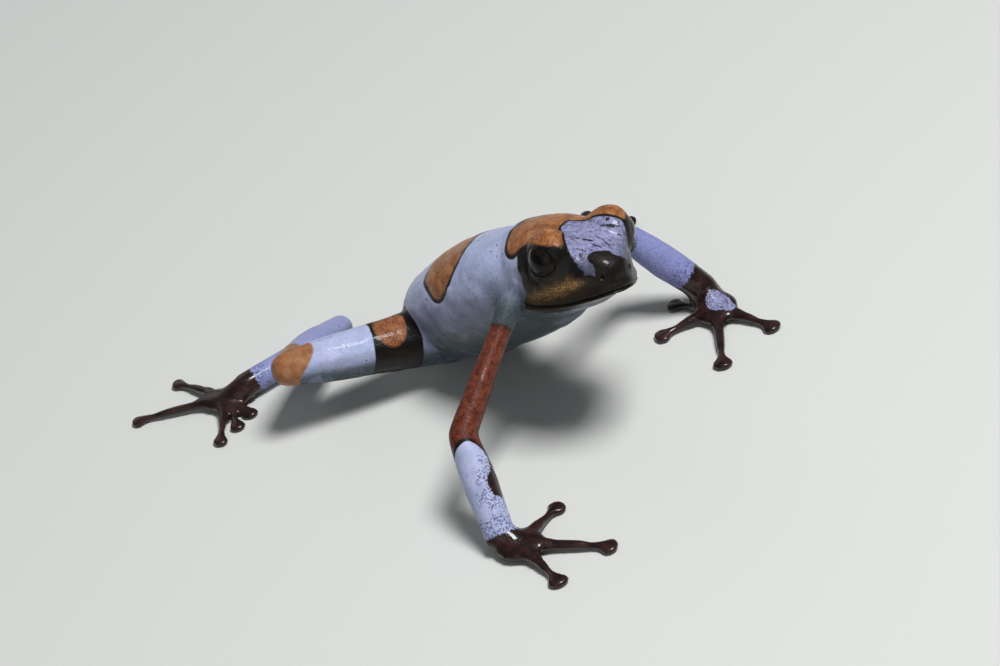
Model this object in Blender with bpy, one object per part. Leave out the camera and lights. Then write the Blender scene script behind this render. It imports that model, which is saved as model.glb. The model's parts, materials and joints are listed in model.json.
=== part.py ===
"""A harlequin poison frog at life size, walking pose, front raised on spread arms.

The frog faces -Y with its left side at +X, and stands on Z = 0.
All sizes below are in millimetres, and the meshes are written in metres.
"""

import math

import bmesh
import bpy
from mathutils import Matrix, Vector

MM = 0.001

# The middle of the whole stance is moved onto the origin
STANCE_MIDDLE_X = 1.7
STANCE_MIDDLE_Y = 17.65

# Skin mesh
VOXEL = 0.16
SMOOTH_ROUNDS = 7
GAP = 0.3
SINK = 0.12

FLAT_WITHIN = 0.01

# How many triangles each kind of node keeps
THIN_TRIES = 6
THIN_STEP = 10
NODE_FACES = {
    "head": 4300,
    "torso": 2400,
    "upper_arm": 420,
    "forearm": 560,
    "hand": 1180,
    "thigh": 480,
    "shank": 600,
    "tarsus": 360,
    "foot": 1240,
}

# Head, measured from the point midway between the eyes
HEAD_PLACE = (1.14, 0.88, 17.37)
HEAD_YAW = -13.5
HEAD_PITCH = -3.0
HEAD_ROLL = 11.5
EYE_APART = 6.4
EYE_RADIUS = 1.75
EYE_GAP = 0.2
EYE_HEIGHT = 0.15
EYE_TURN_FORWARD = 9.0
EYE_TURN_UP = 8.0
LID_WIDE = 1.7
LID_TALL = 1.3
LID_FLARE = 0.25
BROW_APART = 6.1
BROW_HEIGHT = 0.35
BROW_RADII = (2.2, 2.45, 2.1)
MOUTH_GROOVE = 0.16
MOUTH_DEEP = 0.4
MOUTH_CORNER = 2.3
LIP_BEAD = 0.3
LIP_RISE = 0.28
LIP_SINK = 0.1
NOSTRIL_RADIUS = 0.26
EARDRUM_RADII = (0.22, 0.75, 0.8)

# Stations of the head: back, middle height, half width, top, bottom, squareness
HEAD_STATIONS = (
    (8.5, -4.6, 3.8, 4.7, 4.6, 2.1),
    (6.0, -4.5, 4.5, 5.55, 3.9, 2.3),
    (3.0, -4.25, 4.8, 5.75, 2.8, 2.4),
    (0.5, -3.85, 4.6, 5.35, 1.9, 2.5),
    (-2.0, -3.3, 3.5, 4.45, 1.2, 2.7),
    (-3.6, -2.75, 2.3, 3.45, 0.85, 2.9),
    (-4.6, -2.3, 1.4, 2.4, 0.65, 2.9),
    (-5.1, -2.1, 0.75, 1.4, 0.4, 2.4),
)

# Stations of the torso: left, back, middle height, half width, top, bottom, squareness
TORSO_STATIONS = (
    (0.8, 4.5, 13.4, 3.9, 3.3, 4.0, 2.1),
    (1.0, 8.0, 12.2, 4.6, 4.6, 4.8, 2.1),
    (1.4, 12.0, 10.5, 4.8, 4.65, 5.4, 2.15),
    (2.0, 16.0, 8.4, 5.2, 4.4, 5.6, 2.2),
    (2.6, 20.0, 6.0, 4.9, 3.9, 4.7, 2.2),
    (3.1, 23.5, 4.3, 3.6, 2.9, 3.0, 2.1),
    (3.4, 26.0, 3.6, 1.7, 1.5, 1.5, 2.0),
)

# Joints of the limbs
ARM_JOINTS = {
    "right": ((-4.2, 6.0, 13.3), (-13.9, 4.8, 7.9), (-17.3, 0.1, 1.6)),
    "left": ((5.4, 6.2, 12.3), (12.9, 8.0, 8.3), (15.8, 3.7, 1.8)),
}
LEG_JOINTS = {
    "right": ((0.6, 20.2, 3.9), (-11.5, 27.6, 6.7), (-0.7, 32.8, 1.9), (-10.0, 36.3, 1.35)),
    "left": ((4.6, 20.4, 4.2), (14.2, 15.6, 6.0), (9.6, 27.6, 2.2), (15.3, 23.4, 1.2)),
}
UPPER_ARM_RADII = (1.6, 1.3, 1.15, 1.15, 1.2)
FOREARM_RADII = (1.2, 1.42, 1.5, 1.42, 1.3)
THIGH_RADII = (2.9, 2.5, 2.25, 2.0, 1.55)
SHANK_RADII = (1.5, 1.7, 1.75, 1.45, 1.15)
TARSUS_RADII = (1.2, 1.15, 1.1, 1.15, 1.2)

# Hands: middle of the palm, and the heading of the third finger
PALMS = {"right": ((-17.1, -1.7), 24.0), "left": ((14.9, 1.9), 50.0)}
PALM_RADII = (1.65, 1.95, 0.85)
# Fingers: length from the middle of the palm, and the turn from the third finger
FINGERS = ((4.3, 124.0), (5.2, 71.0), (7.5, 0.0), (5.8, -50.0))
FINGER_RADIUS = 0.48
FINGER_DISC = (0.8, 0.78, 0.48)

# Feet: middle of the ball of the foot, and the heading of the fourth toe
SOLES = {"right": ((-11.6, 37.6), -140.0), "left": ((16.2, 22.6), -60.0)}
SOLE_RADII = (1.35, 2.0, 0.8)
TOES = ((3.3, 132.0), (4.1, 106.0), (5.5, 76.0), (8.2, 0.0), (6.4, -34.0))
TOE_RADIUS = 0.44
TOE_DISC = (0.66, 0.66, 0.45)

# Cuts that part the nodes
NECK_MIDDLE = (0.9, 4.6, 13.4)
NECK_AXIS = (-0.1, 0.86, -0.5)
NECK_RADII = (6.6, 7.4)
SHOULDER_CUT_DEPTH = 2.6
WRIST_CUT_DEPTH = 1.2
HIP_CUT_DEPTH = 5.0
SHOULDER_CUT = 2.6
ELBOW_CUT = 2.0
WRIST_CUT = 2.0
HIP_CUT = 3.6
KNEE_CUT = 2.3
HEEL_CUT = 1.7
ANKLE_CUT = 2.2
SLICE_SIDES = 24

SIDE_SIGN = {"left": 1.0, "right": -1.0}


def smooth_stations(stations, per_span):
    """Rows between the given rows, on a curve that passes through each of them."""
    rows = []
    last = len(stations) - 1
    for index in range(last):
        before = stations[max(index - 1, 0)]
        start = stations[index]
        end = stations[index + 1]
        after = stations[min(index + 2, last)]
        for step in range(per_span):
            t = step / per_span
            row = []
            for a, b, c, d in zip(before, start, end, after):
                bend = (2 * a - 5 * b + 4 * c - d) * t * t
                twist = (3 * b - a - 3 * c + d) * t * t * t
                row.append(b + 0.5 * ((c - a) * t + bend + twist))
            rows.append(tuple(row))
    rows.append(tuple(stations[last]))
    return rows


def power_point(angle, half_width, top, bottom, squareness):
    """A point of a rounded section, as a distance to the side and a height."""
    across = math.cos(angle)
    rise = math.sin(angle)
    side = math.copysign(abs(across) ** (2.0 / squareness), across) * half_width
    height = math.copysign(abs(rise) ** (2.0 / squareness), rise)
    return side, height * (top if rise > 0 else bottom)


def loft(mesh, sections, sides, place=Matrix.Identity(4)):
    """A closed skin over sections: (middle, side, up, half width, top, bottom, squareness)."""
    rings = []
    for middle, side, up, half_width, top, bottom, squareness in sections:
        ring = []
        for number in range(sides):
            angle = 2.0 * math.pi * number / sides
            out, height = power_point(angle, half_width, top, bottom, squareness)
            ring.append(mesh.verts.new(place @ (middle + side * out + up * height)))
        rings.append(ring)
    faces = [mesh.faces.new(rings[0]), mesh.faces.new(list(reversed(rings[-1])))]
    for ring, following in zip(rings, rings[1:]):
        for number in range(sides):
            after = (number + 1) % sides
            corners = (ring[after], ring[number], following[number], following[after])
            faces.append(mesh.faces.new(corners))
    bmesh.ops.recalc_face_normals(mesh, faces=faces)


def along(rows, index):
    """The direction of a row of points at one of them."""
    ahead = rows[min(index + 1, len(rows) - 1)]
    behind = rows[max(index - 1, 0)]
    return (Vector(ahead[:3]) - Vector(behind[:3])).normalized()


def tube(mesh, points, radii, sides=12, per_span=4):
    """A round limb through points, with a radius at each of them and rounded ends."""
    stations = [(*point, radius) for point, radius in zip(points, radii)]
    rows = smooth_stations(stations, per_span)
    start = along(rows, 0)
    end = along(rows, len(rows) - 1)
    first = rows[0]
    final = rows[-1]
    for share in (0.5, 0.85):
        shrink = math.sqrt(1.0 - share * share)
        rows.insert(0, (*(Vector(first[:3]) - start * first[3] * share), first[3] * shrink))
        rows.append((*(Vector(final[:3]) + end * final[3] * share), final[3] * shrink))
    guide = Vector((0.0, 0.0, 1.0))
    if abs(start.z) > 0.9:
        guide = Vector((0.0, 1.0, 0.0))
    sections = []
    for index, row in enumerate(rows):
        ahead = along(rows, index)
        side = ahead.cross(guide).normalized()
        up = side.cross(ahead).normalized()
        guide = up
        sections.append((Vector(row[:3]), side, up, row[3], row[3], row[3], 2.0))
    loft(mesh, sections, sides)


def ball(mesh, middle, radii, turn=Matrix.Identity(4), rounds=2):
    """A ball or a flattened ball, its radii along its own three axes."""
    place = Matrix.Translation(Vector(middle)) @ turn @ Matrix.Diagonal((*radii, 1.0))
    bmesh.ops.create_icosphere(mesh, subdivisions=rounds, radius=1.0, matrix=place)


def heading_turn(degrees, sign):
    """A turn that takes -Y to a heading, counted from straight ahead towards the midline."""
    return Matrix.Rotation(math.radians(-sign * degrees), 4, "Z")


def head_place():
    """The head's own axes: x to its left, y to its back, z to its crown."""
    yaw = Matrix.Rotation(math.radians(HEAD_YAW), 4, "Z")
    pitch = Matrix.Rotation(math.radians(HEAD_PITCH), 4, "X")
    roll = Matrix.Rotation(math.radians(HEAD_ROLL), 4, "Y")
    return Matrix.Translation(Vector(HEAD_PLACE)) @ yaw @ pitch @ roll


def head_rows():
    return smooth_stations(HEAD_STATIONS, 4)


def eye_place(sign):
    """The eye's own axes, its z out of the pupil."""
    outward = Matrix.Rotation(math.radians(90.0 * sign), 4, "Y")
    forward = Matrix.Rotation(math.radians(-EYE_TURN_FORWARD * sign), 4, "Z")
    upward = Matrix.Rotation(math.radians(-EYE_TURN_UP * sign), 4, "Y")
    middle = Matrix.Translation((sign * EYE_APART / 2, 0.0, EYE_HEIGHT))
    return head_place() @ middle @ forward @ upward @ outward


def lip_path():
    """Where the lips meet, from the left corner of the mouth round to the right one."""
    left = [(row[2], row[0], row[1]) for row in head_rows() if row[0] < MOUTH_CORNER]
    front = (0.0, left[-1][1] - 0.15, left[-1][2])
    return left + [front] + [(-x, y, z) for x, y, z in reversed(left)]


def add_head(mesh):
    """The skull and jaws, and a bulge over each eye."""
    place = head_place()
    side = Vector((1.0, 0.0, 0.0))
    up = Vector((0.0, 0.0, 1.0))
    sections = []
    for back, height, half_width, top, bottom, squareness in head_rows():
        middle = Vector((0.0, back, height))
        sections.append((middle, side, up, half_width, top, bottom, squareness))
    loft(mesh, sections, 28, place)
    for sign in SIDE_SIGN.values():
        middle = place @ Vector((sign * BROW_APART / 2, 0.1, BROW_HEIGHT))
        ball(mesh, middle, BROW_RADII, place.to_3x3().to_4x4(), 3)
    for rise in (LIP_RISE, -LIP_RISE):
        lips = []
        for x, y, z in lip_path():
            inward = Vector((-x, 1.0 - y, 0.0)).normalized() * LIP_SINK
            lips.append(place @ (Vector((x, y, z + rise)) + inward))
        tube(mesh, lips, (LIP_BEAD,) * len(lips), 8, 1)


def add_torso(mesh):
    """The trunk, whose sections stand square to its sloping axis."""
    rows = smooth_stations(TORSO_STATIONS, 4)
    sections = []
    for index, row in enumerate(rows):
        axis = along(rows, index)
        side = Vector((0.0, 0.0, 1.0)).cross(axis).normalized() * -1.0
        sections.append((Vector(row[:3]), side, side.cross(axis), *row[3:]))
    loft(mesh, sections, 28)


def spread(start, end, shares):
    """Points on the straight line between two joints."""
    return [Vector(start).lerp(Vector(end), share) for share in shares]


def add_digit(mesh, middle, turn, length, radius, disc):
    """A finger or toe that leaves the palm, dips to the floor and ends in a broad disc."""
    ahead = turn @ Vector((0.0, -1.0, 0.0))
    base = Vector((*middle, 0.0))
    bones = (
        (0.12, 0.80, 1.25),
        (0.35, 0.66, 1.05),
        (0.58, 0.60, 0.98),
        (0.78, 0.52, 0.88),
        (0.98, 0.46, 0.90),
    )
    points = [base + ahead * length * share + Vector((0, 0, height)) for share, height, _ in bones]
    tube(mesh, points, [radius * factor for _, _, factor in bones], 10, 3)
    tip = base + ahead * length
    tip.z = disc[2] - SINK
    ball(mesh, tip, disc, turn)


def add_arm(mesh, side):
    """Upper arm, forearm, palm and four fingers."""
    sign = SIDE_SIGN[side]
    shoulder, elbow, wrist = ARM_JOINTS[side]
    shares = (0.0, 0.25, 0.5, 0.75, 1.0)
    tube(mesh, spread(shoulder, elbow, shares), UPPER_ARM_RADII)
    tube(mesh, spread(elbow, wrist, shares), FOREARM_RADII)
    middle, heading = PALMS[side]
    turn = heading_turn(heading, sign)
    palm = Vector((*middle, PALM_RADII[2] - SINK))
    ball(mesh, palm, PALM_RADII, turn)
    tube(mesh, (wrist, palm), (1.25, 1.0))
    for length, splay in FINGERS:
        add_digit(mesh, middle, heading_turn(heading + splay, sign), length, FINGER_RADIUS, FINGER_DISC)


def add_leg(mesh, side):
    """Thigh, shank, tarsus, sole and five toes."""
    sign = SIDE_SIGN[side]
    hip, knee, heel, ankle = LEG_JOINTS[side]
    shares = (0.0, 0.25, 0.5, 0.75, 1.0)
    tube(mesh, spread(hip, knee, shares), THIGH_RADII)
    tube(mesh, spread(knee, heel, shares), SHANK_RADII)
    tube(mesh, spread(heel, ankle, shares), TARSUS_RADII)
    middle, heading = SOLES[side]
    turn = heading_turn(heading, sign)
    sole = Vector((*middle, SOLE_RADII[2] - SINK))
    ball(mesh, sole, SOLE_RADII, turn)
    tube(mesh, (ankle, sole), (1.15, 0.9))
    for length, splay in TOES:
        add_digit(mesh, middle, heading_turn(heading + splay, sign), length, TOE_RADIUS, TOE_DISC)


def make_object(name, mesh):
    """A Blender object, in metres, from a mesh in millimetres."""
    data = bpy.data.meshes.new(name)
    bmesh.ops.scale(mesh, vec=(MM, MM, MM), verts=mesh.verts)
    mesh.to_mesh(data)
    mesh.free()
    thing = bpy.data.objects.new(name, data)
    bpy.context.collection.objects.link(thing)
    return thing


def apply_modifiers(thing):
    """Keep the shape that the modifiers give, and drop them."""
    bpy.context.view_layer.update()
    seen = thing.evaluated_get(bpy.context.evaluated_depsgraph_get())
    data = bpy.data.meshes.new_from_object(seen)
    thing.modifiers.clear()
    thing.data = data


def cut(thing, cutter):
    """Take the cutter's shape out of a thing, and remove the cutter."""
    cutter.hide_render = True
    boolean = thing.modifiers.new("cut", "BOOLEAN")
    boolean.operation = "DIFFERENCE"
    boolean.solver = "MANIFOLD"
    boolean.object = cutter
    apply_modifiers(thing)
    bpy.data.objects.remove(cutter)


def flesh():
    """Head, trunk and limbs fused into one skin."""
    mesh = bmesh.new()
    add_head(mesh)
    add_torso(mesh)
    for side in SIDE_SIGN:
        add_arm(mesh, side)
        add_leg(mesh, side)
    skin = make_object("skin", mesh)
    remesh = skin.modifiers.new("fuse", "REMESH")
    remesh.mode = "VOXEL"
    remesh.voxel_size = VOXEL * MM
    soften = skin.modifiers.new("soften", "SMOOTH")
    soften.factor = 0.5
    soften.iterations = SMOOTH_ROUNDS
    apply_modifiers(skin)
    return skin


def floor_cutter():
    """A slab whose top is the floor."""
    mesh = bmesh.new()
    place = Matrix.Translation((0.0, 20.0, -5.0)) @ Matrix.Diagonal((80.0, 90.0, 10.0, 1.0))
    bmesh.ops.create_cube(mesh, size=1.0, matrix=place)
    return make_object("floor_cutter", mesh)


def add_socket(mesh, sign):
    """The room of an eyeball, and the opening between the lids, as one outline."""
    room = EYE_RADIUS + EYE_GAP
    sections = []
    side = Vector((0.0, 1.0, 0.0))
    up = Vector((1.0, 0.0, 0.0))
    for step in range(1, 9):
        depth = -room * math.cos(math.pi * step / 16.0)
        wide = math.sqrt(room * room - depth * depth)
        sections.append((Vector((0.0, 0.0, depth)), side, up, wide, wide, wide, 2.0))
    for step in range(1, 6):
        angle = math.pi * step / 16.0
        depth = room * math.sin(angle)
        wide = room * math.cos(angle)
        sections.append((Vector((0.0, 0.0, depth)), side, up, max(wide, LID_WIDE), wide, wide, 2.0))
    for depth, flare in ((room * 0.88, 0.0), (room + 2.0, LID_FLARE)):
        wide = LID_WIDE + flare
        tall = LID_TALL + flare
        sections.append((Vector((0.0, 0.0, depth)), side, up, wide, tall, tall, 2.0))
    loft(mesh, sections, 24, eye_place(sign))


def mouth_cutter(mesh):
    """A thin band let into the skin along the lips, from one corner to the other."""
    place = head_place()
    path = lip_path()
    rings = []
    for index, (x, y, z) in enumerate(path):
        before = path[max(index - 1, 0)]
        after = path[min(index + 1, len(path) - 1)]
        run = Vector((after[0] - before[0], after[1] - before[1], 0.0)).normalized()
        out = Vector((-run.y, run.x, 0.0))
        if out.dot(Vector((x, y - 1.0, 0.0))) < 0:
            out = -out
        middle = Vector((x, y, z))
        half = Vector((0.0, 0.0, MOUTH_GROOVE / 2))
        inner = middle - out * MOUTH_DEEP
        outer = middle + out * 0.8
        corners = (inner - half, outer - half, outer + half, inner + half)
        rings.append([mesh.verts.new(place @ corner) for corner in corners])
    faces = [mesh.faces.new(rings[0]), mesh.faces.new(list(reversed(rings[-1])))]
    for ring, following in zip(rings, rings[1:]):
        for number in range(4):
            after = (number + 1) % 4
            corners = (ring[after], ring[number], following[number], following[after])
            faces.append(mesh.faces.new(corners))
    bmesh.ops.recalc_face_normals(mesh, faces=faces)


def on_skin(skin, middle, heading):
    """Where a line from inside the head leaves the skin."""
    place = head_place()
    start = place @ Vector(middle)
    ahead = place.to_3x3() @ Vector(heading).normalized()
    hit, spot, _, _ = skin.ray_cast(start * MM, ahead)
    if not hit:
        raise ValueError("the line does not meet the skin")
    return spot / MM


def face_cutter(skin):
    """Everything let into the head: eye sockets, mouth, nostrils, eardrums."""
    mesh = bmesh.new()
    mouth_cutter(mesh)
    place = head_place()
    for sign in SIDE_SIGN.values():
        add_socket(mesh, sign)
        nostril = on_skin(skin, (0.0, -3.3, -1.4), (sign, -0.85, 0.35))
        ball(mesh, nostril, (NOSTRIL_RADIUS,) * 3, rounds=1)
        eardrum = on_skin(skin, (0.0, 3.3, -2.2), (sign, 0.0, 0.0))
        ball(mesh, eardrum, EARDRUM_RADII, place.to_3x3().to_4x4(), 2)
    return make_object("face_cutter", mesh)


def cut_slice(skin, middle, axis, inward, reach, radius):
    """Part the skin with a thin oval disc, longer along the inner side of a bend."""
    thick = Vector(axis).normalized()
    long = Vector(inward).normalized()
    long = (long - thick * long.dot(thick)).normalized()
    short = thick.cross(long)
    turn = Matrix((long * reach, short * radius, thick * GAP)).transposed().to_4x4()
    place = Matrix.Translation(Vector(middle)) @ turn
    mesh = bmesh.new()
    bmesh.ops.create_cone(
        mesh, cap_ends=True, segments=SLICE_SIDES, radius1=1.0, radius2=1.0, depth=1.0, matrix=place
    )
    cut(skin, make_object("slice", mesh))


def cut_bend(skin, before, joint, after, radius):
    """A slice on the mitre plane of a bend, out to where the two limbs part."""
    incoming = (joint - before).normalized()
    outgoing = (after - joint).normalized()
    inward = (outgoing - incoming).normalized()
    reach = radius / math.sin(0.5 * (-incoming).angle(outgoing))
    middle = joint + inward * 0.5 * (reach - radius)
    cut_slice(skin, middle, incoming + outgoing, inward, 0.5 * (reach + radius), radius)


def cut_root(skin, root, joint, depth, radius):
    """A slice square to a limb, at a depth along it from its root."""
    ahead = (joint - root).normalized()
    cut_slice(skin, root + ahead * depth, ahead, ahead.orthogonal(), radius, radius)


def part_joints(skin):
    """The cuts at the neck and at each joint."""
    cut_slice(skin, NECK_MIDDLE, NECK_AXIS, (1.0, 0.0, 0.0), *NECK_RADII)
    for side in SIDE_SIGN:
        shoulder, elbow, wrist = [Vector(point) for point in ARM_JOINTS[side]]
        cut_root(skin, shoulder, elbow, SHOULDER_CUT_DEPTH, SHOULDER_CUT)
        cut_bend(skin, shoulder, elbow, wrist, ELBOW_CUT)
        cut_root(skin, wrist, elbow, WRIST_CUT_DEPTH, WRIST_CUT)
        hip, knee, heel, ankle = [Vector(point) for point in LEG_JOINTS[side]]
        sole = Vector((*SOLES[side][0], 0.8))
        cut_root(skin, hip, knee, HIP_CUT_DEPTH, HIP_CUT)
        cut_bend(skin, hip, knee, heel, KNEE_CUT)
        cut_bend(skin, knee, heel, ankle, HEEL_CUT)
        cut_bend(skin, heel, ankle, sole, ANKLE_CUT)


def node_middles():
    """A point inside each node."""
    place = head_place()
    middles = {"head": place @ Vector((0.0, 0.0, -2.0)), "torso": Vector((0.0, 15.0, 9.5))}
    for side in SIDE_SIGN:
        shoulder, elbow, wrist = [Vector(point) for point in ARM_JOINTS[side]]
        middles["upper_arm_" + side] = shoulder.lerp(elbow, 0.6)
        middles["forearm_" + side] = elbow.lerp(wrist, 0.5)
        middles["hand_" + side] = Vector((*PALMS[side][0], 0.5))
        hip, knee, heel, ankle = [Vector(point) for point in LEG_JOINTS[side]]
        middles["thigh_" + side] = hip.lerp(knee, 0.62)
        middles["shank_" + side] = knee.lerp(heel, 0.5)
        middles["tarsus_" + side] = heel.lerp(ankle, 0.5)
        middles["foot_" + side] = Vector((*SOLES[side][0], 0.5))
    return middles


def islands(data):
    """The closed surfaces of a mesh, as sets of vertex numbers."""
    mesh = bmesh.new()
    mesh.from_mesh(data)
    seen = set()
    found = []
    for start in mesh.verts:
        if start.index in seen:
            continue
        queue = [start]
        seen.add(start.index)
        island = set()
        while queue:
            corner = queue.pop()
            island.add(corner.index)
            for edge in corner.link_edges:
                other = edge.other_vert(corner)
                if other.index not in seen:
                    seen.add(other.index)
                    queue.append(other)
        found.append(island)
    mesh.free()
    return found


def node_kind(name):
    """A node's name without its side."""
    return name.removesuffix("_left").removesuffix("_right")


def is_closed(data):
    """Whether each edge of a mesh has exactly two faces."""
    mesh = bmesh.new()
    mesh.from_mesh(data)
    closed = all(edge.is_manifold for edge in mesh.edges)
    mesh.free()
    return closed


def thin_out(node, faces):
    """Keep about this many triangles: a few more where fewer would tear the surface."""
    full = node.data
    for extra in range(THIN_TRIES):
        node.data = full
        thin = node.modifiers.new("thin", "DECIMATE")
        thin.ratio = (faces + THIN_STEP * extra) / len(full.polygons)
        apply_modifiers(node)
        if is_closed(node.data):
            break
    for corner in node.data.vertices:
        if abs(corner.co.z) < FLAT_WITHIN * MM:
            corner.co.z = 0.0


def part_nodes(skin):
    """One object for each node: the largest surface round that node's middle."""
    data = skin.data
    middles = node_middles()
    largest = {}
    for island in islands(data):
        points = [data.vertices[number].co for number in island]
        middle = sum(points, Vector()) / len(points) / MM
        name = min(middles, key=lambda node: (middles[node] - middle).length)
        if len(island) > len(largest.get(name, ())):
            largest[name] = island
    if len(largest) < len(middles):
        raise ValueError("a joint is not cut through")
    for name, island in largest.items():
        mesh = bmesh.new()
        mesh.from_mesh(data)
        strays = [corner for corner in mesh.verts if corner.index not in island]
        bmesh.ops.delete(mesh, geom=strays, context="VERTS")
        bmesh.ops.triangulate(mesh, faces=mesh.faces)
        node_data = bpy.data.meshes.new(name)
        mesh.to_mesh(node_data)
        mesh.free()
        node = bpy.data.objects.new(name, node_data)
        bpy.context.collection.objects.link(node)
        thin_out(node, NODE_FACES[node_kind(name)])
    bpy.data.objects.remove(skin)


def add_eyeballs():
    for side, sign in SIDE_SIGN.items():
        mesh = bmesh.new()
        bmesh.ops.create_uvsphere(
            mesh, u_segments=16, v_segments=10, radius=EYE_RADIUS, matrix=eye_place(sign)
        )
        make_object("eye_" + side, mesh)


def finish(name, colour, roughness):
    """A plain finish for a node."""
    material = bpy.data.materials.new(name)
    material.use_nodes = True
    shader = material.node_tree.nodes["Principled BSDF"]
    shader.inputs["Base Color"].default_value = (*colour, 1.0)
    shader.inputs["Roughness"].default_value = roughness
    shader.inputs["Metallic"].default_value = 0.0
    return material


def paint():
    """Each node has a finish of its own, in the main colour of that part of the frog."""
    lavender = (0.38, 0.42, 0.70)
    rust = (0.36, 0.09, 0.03)
    brown = (0.35, 0.13, 0.03)
    dark = (0.03, 0.012, 0.01)
    black = (0.008, 0.007, 0.006)
    colours = {
        "head": brown,
        "torso": lavender,
        "eye": black,
        "upper_arm": rust,
        "forearm": lavender,
        "hand": dark,
        "thigh": lavender,
        "shank": lavender,
        "tarsus": lavender,
        "foot": dark,
    }
    for node in bpy.data.objects:
        node.data.materials.clear()
        node.data.materials.append(finish(node.name, colours[node_kind(node.name)], 0.3))
        node.data.shade_smooth()


def centre():
    """Move the whole stance over the origin."""
    shift = Matrix.Translation((-STANCE_MIDDLE_X * MM, -STANCE_MIDDLE_Y * MM, 0.0))
    for node in bpy.data.objects:
        node.data.transform(shift)


def main():
    for thing in list(bpy.data.objects):
        bpy.data.objects.remove(thing)
    skin = flesh()
    cut(skin, floor_cutter())
    cut(skin, face_cutter(skin))
    part_joints(skin)
    part_nodes(skin)
    add_eyeballs()
    paint()
    centre()


main()
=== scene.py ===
"""A harlequin poison frog on a plain pale floor, walking, its front raised on spread forelegs."""

import json
import math

import bmesh
import bpy
import numpy as np
from mathutils import Matrix, Vector, noise
from mathutils.kdtree import KDTree

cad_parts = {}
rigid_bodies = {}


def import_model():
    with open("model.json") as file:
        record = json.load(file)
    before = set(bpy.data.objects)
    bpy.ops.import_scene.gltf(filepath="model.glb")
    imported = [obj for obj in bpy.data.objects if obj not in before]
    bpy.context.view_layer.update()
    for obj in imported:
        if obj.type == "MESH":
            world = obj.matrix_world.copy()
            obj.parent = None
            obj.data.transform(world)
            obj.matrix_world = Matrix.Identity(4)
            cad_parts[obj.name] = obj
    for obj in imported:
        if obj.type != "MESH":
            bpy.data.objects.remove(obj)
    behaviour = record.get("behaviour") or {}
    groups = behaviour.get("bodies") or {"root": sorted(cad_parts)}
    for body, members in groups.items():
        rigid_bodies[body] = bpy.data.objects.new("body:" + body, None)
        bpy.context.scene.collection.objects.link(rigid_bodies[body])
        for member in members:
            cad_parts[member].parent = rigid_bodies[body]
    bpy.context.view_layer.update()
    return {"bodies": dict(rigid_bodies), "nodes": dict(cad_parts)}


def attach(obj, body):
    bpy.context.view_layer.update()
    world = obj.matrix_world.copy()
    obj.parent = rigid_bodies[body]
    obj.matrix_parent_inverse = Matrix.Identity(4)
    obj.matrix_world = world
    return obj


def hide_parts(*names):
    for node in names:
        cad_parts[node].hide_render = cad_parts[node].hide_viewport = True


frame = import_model()

# Lengths are in millimetres and angles in degrees, unless they say otherwise
MM = 0.001
SIDES = {"left": 1.0, "right": -1.0}
FLESH = sorted(name for name in frame["nodes"] if not name.startswith("eye"))

# The camera looks at the space under the middle of the frog, and is rolled
VIEW_TARGET = Vector((-9.14, -13.70, 13.89)) * MM
VIEW_AZIMUTH = -40.0
VIEW_ELEVATION = 34.0
VIEW_ROLL = -18.0
VIEW_DISTANCE = 300.0 * MM
VIEW_LENS = 132.84
VIEW_SENSOR = 36.0
NEAREST_SEEN = 10.0 * MM

# Floor and lights: name, place and size in metres, and power in watts
FLOOR_SIZE = 3.0
FLOOR_COLOUR = (0.62, 0.63, 0.61)
LIGHTS = (
    ("key_light", (0.05, -0.2, 0.46), 0.15, 2.7),
    ("fill_light", (-0.5, -0.25, 0.3), 0.4, 0.3),
    ("back_light", (0.15, 0.45, 0.3), 0.3, 0.15),
)
ROOM_COLOUR = (0.9, 0.95, 1.0, 1.0)
ROOM_STRENGTH = 0.15

# The head's own axes: x to its left, y to its back, z to its crown
HEAD_MIDDLE = (-0.56, -16.77, 17.37)
HEAD_YAW = -13.5
HEAD_PITCH = -3.0
HEAD_ROLL = 11.5

# Eyeballs, and the lids round them; a share is 1 on the edge of the lids
EYE_APART = 6.4
EYE_HEIGHT = 0.15
EYE_RADIUS = 1.75
EYE_TURN_FORWARD = 9.0
EYE_TURN_UP = 8.0
CORNEA_RISE = 0.03
SOCKET_FILL = 2.02
LID_WIDE = 1.62
LID_TALL = 1.3
LID_RADIUS = 1.94
LID_SHARE = 1.6
LID_REACH = 3.0
BEHIND_EYE = 9.0
UNDER_EYE = 1.5
FOLD_RISE = 0.05
FOLD_WIDTH = 0.035

# Ridge from the eye to the nostril, the hollow under it, and the back of the crown
CANTHUS = ((2.55, -1.7, 0.75), (1.9, -3.1, -0.35), (1.25, -4.1, -1.25))
CANTHUS_RISE = 0.19
CANTHUS_WIDTH = 0.38
LORE = (2.9, -2.9, -1.9)
LORE_DEPTH = 0.14
LORE_WIDTH = 1.1
CROWN_BACK = 6.8
CROWN_SINK = 0.28
CROWN_WIDTH = 2.2

# Nostrils and eardrums
NOSTRIL_RADIUS = 0.28
NOSTRIL_RIM = 0.02
NOSTRIL_DEPTH = 0.2
NOSTRIL_WIDTH = 0.12
DRUM_RADIUS = 0.72
DRUM_RIM = 0.018
DRUM_DEPTH = 0.015

# The line of the mouth, from its corner to the tip of the snout, and the slit and the lips
LIPS = (
    (4.77, 2.0, -4.12), (4.6, 0.5, -3.85), (3.5, -2.0, -3.3), (2.3, -3.6, -2.75), (1.4, -4.6, -2.3),
    (0.75, -5.1, -2.1), (0.0, -5.25, -2.08),
)
JAW_RISE = 0.34
SLIT_DEPTH = 0.2
SLIT_WIDTH = 0.1
SLIT_FILL_INSET = 0.22
SLIT_FILL_RADIUS = 0.3
LIP_APART = 0.3
LIP_RISE = 0.05
LIP_WIDTH = 0.22

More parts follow.
